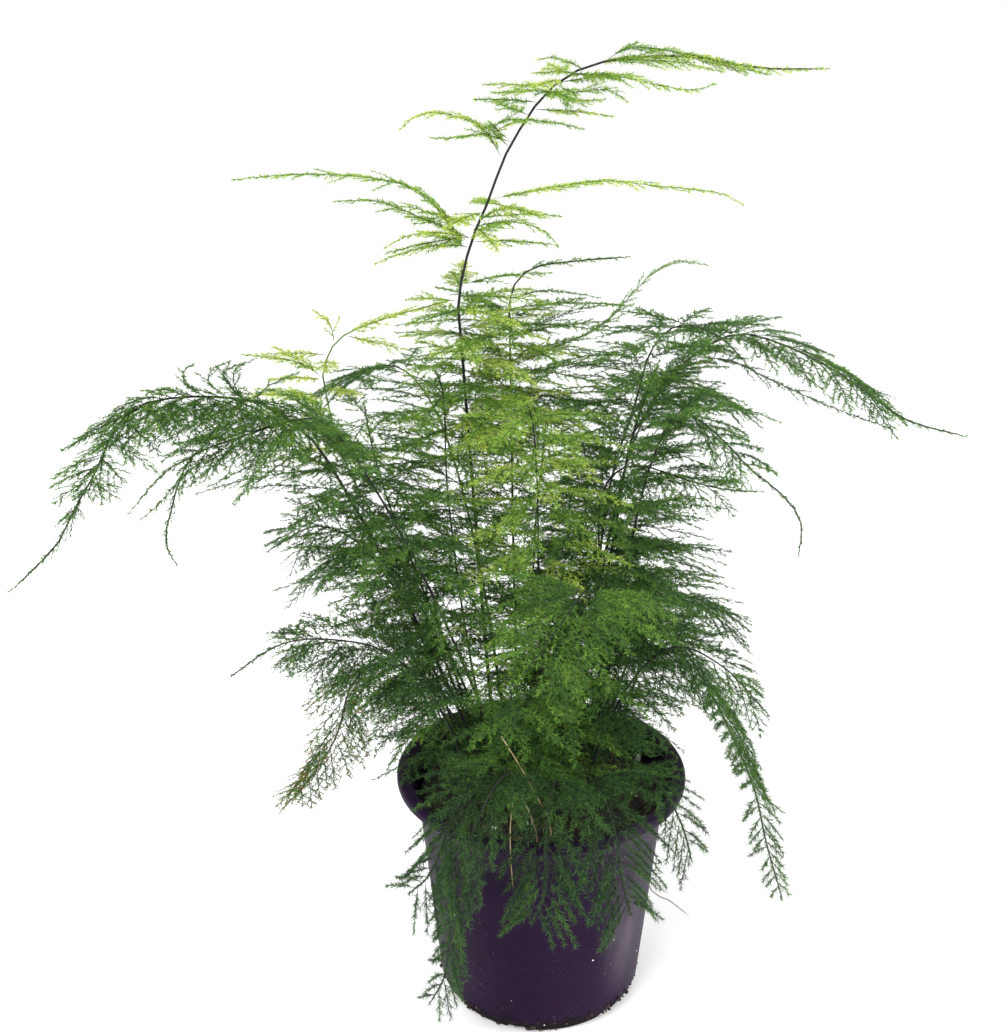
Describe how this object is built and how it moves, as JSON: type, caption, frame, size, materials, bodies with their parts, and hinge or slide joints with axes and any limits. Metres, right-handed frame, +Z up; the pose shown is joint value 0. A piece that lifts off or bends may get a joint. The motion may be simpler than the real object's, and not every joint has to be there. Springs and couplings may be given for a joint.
{
  "type": "potted asparagus fern",
  "caption": "Asparagus fern with wiry stems and flat sprays of fine needles, growing in a round tapered nursery pot of dark plastic filled with compost.",
  "frame": {"origin": "middle of the pot's flat foot, on the surface that it stands on", "axes": "+Z up along the pot's axis, -Y the plant's front, +X to the right seen from the front"},
  "size_m": [0.375, 0.2288, 0.4266],
  "materials": {
    "pot_plastic": "satin",
    "compost": "matte",
    "needles_dark": "satin",
    "needles_leaf": "satin",
    "needles_fresh": "satin",
    "needles_young": "satin",
    "dry_straw": "matte",
    "dry_brown": "matte"
  },
  "bodies": {
    "root": {"pot": "pot_plastic", "soil": "compost", "frond_leader": "needles_fresh", "frond_centre_back": "needles_leaf", "frond_centre_left": "needles_leaf", "frond_left_arch": "needles_dark", "frond_left_young": "needles_young", "frond_right_arch": "needles_dark", "frond_right_upper": "needles_dark", "frond_right_drooping": "needles_dark", "frond_front_centre": "needles_fresh", "frond_front_bright": "needles_leaf", "frond_right_low_front": "needles_dark", "frond_right_middle": "needles_dark", "frond_right_trailing": "needles_leaf", "frond_left_upper": "needles_dark", "frond_left_centre": "needles_dark", "frond_left_middle": "needles_dark", "frond_left_drooping": "needles_leaf", "frond_front_trailing_left": "needles_leaf", "frond_front_trailing_long": "needles_leaf", "frond_front_trailing_middle": "needles_leaf", "frond_front_trailing_right": "needles_leaf", "frond_front_trailing_side": "needles_leaf", "frond_right_centre": "needles_dark", "frond_left_level": "needles_leaf", "frond_core_front": "needles_leaf", "frond_core_right": "needles_dark", "frond_core_left": "needles_dark", "frond_core_middle": "needles_dark", "frond_core_back": "needles_dark", "frond_back_arch_left": "needles_dark", "frond_back_arch_right": "needles_dark", "frond_back_centre": "needles_leaf", "frond_back_low_left": "needles_dark", "frond_back_low_right": "needles_dark", "frond_back_trailing": "needles_leaf", "dry_stalk_front": "dry_straw", "dry_stalk_over_rim": "dry_straw", "dry_twig_right": "dry_brown"}
  },
  "joints": []
}
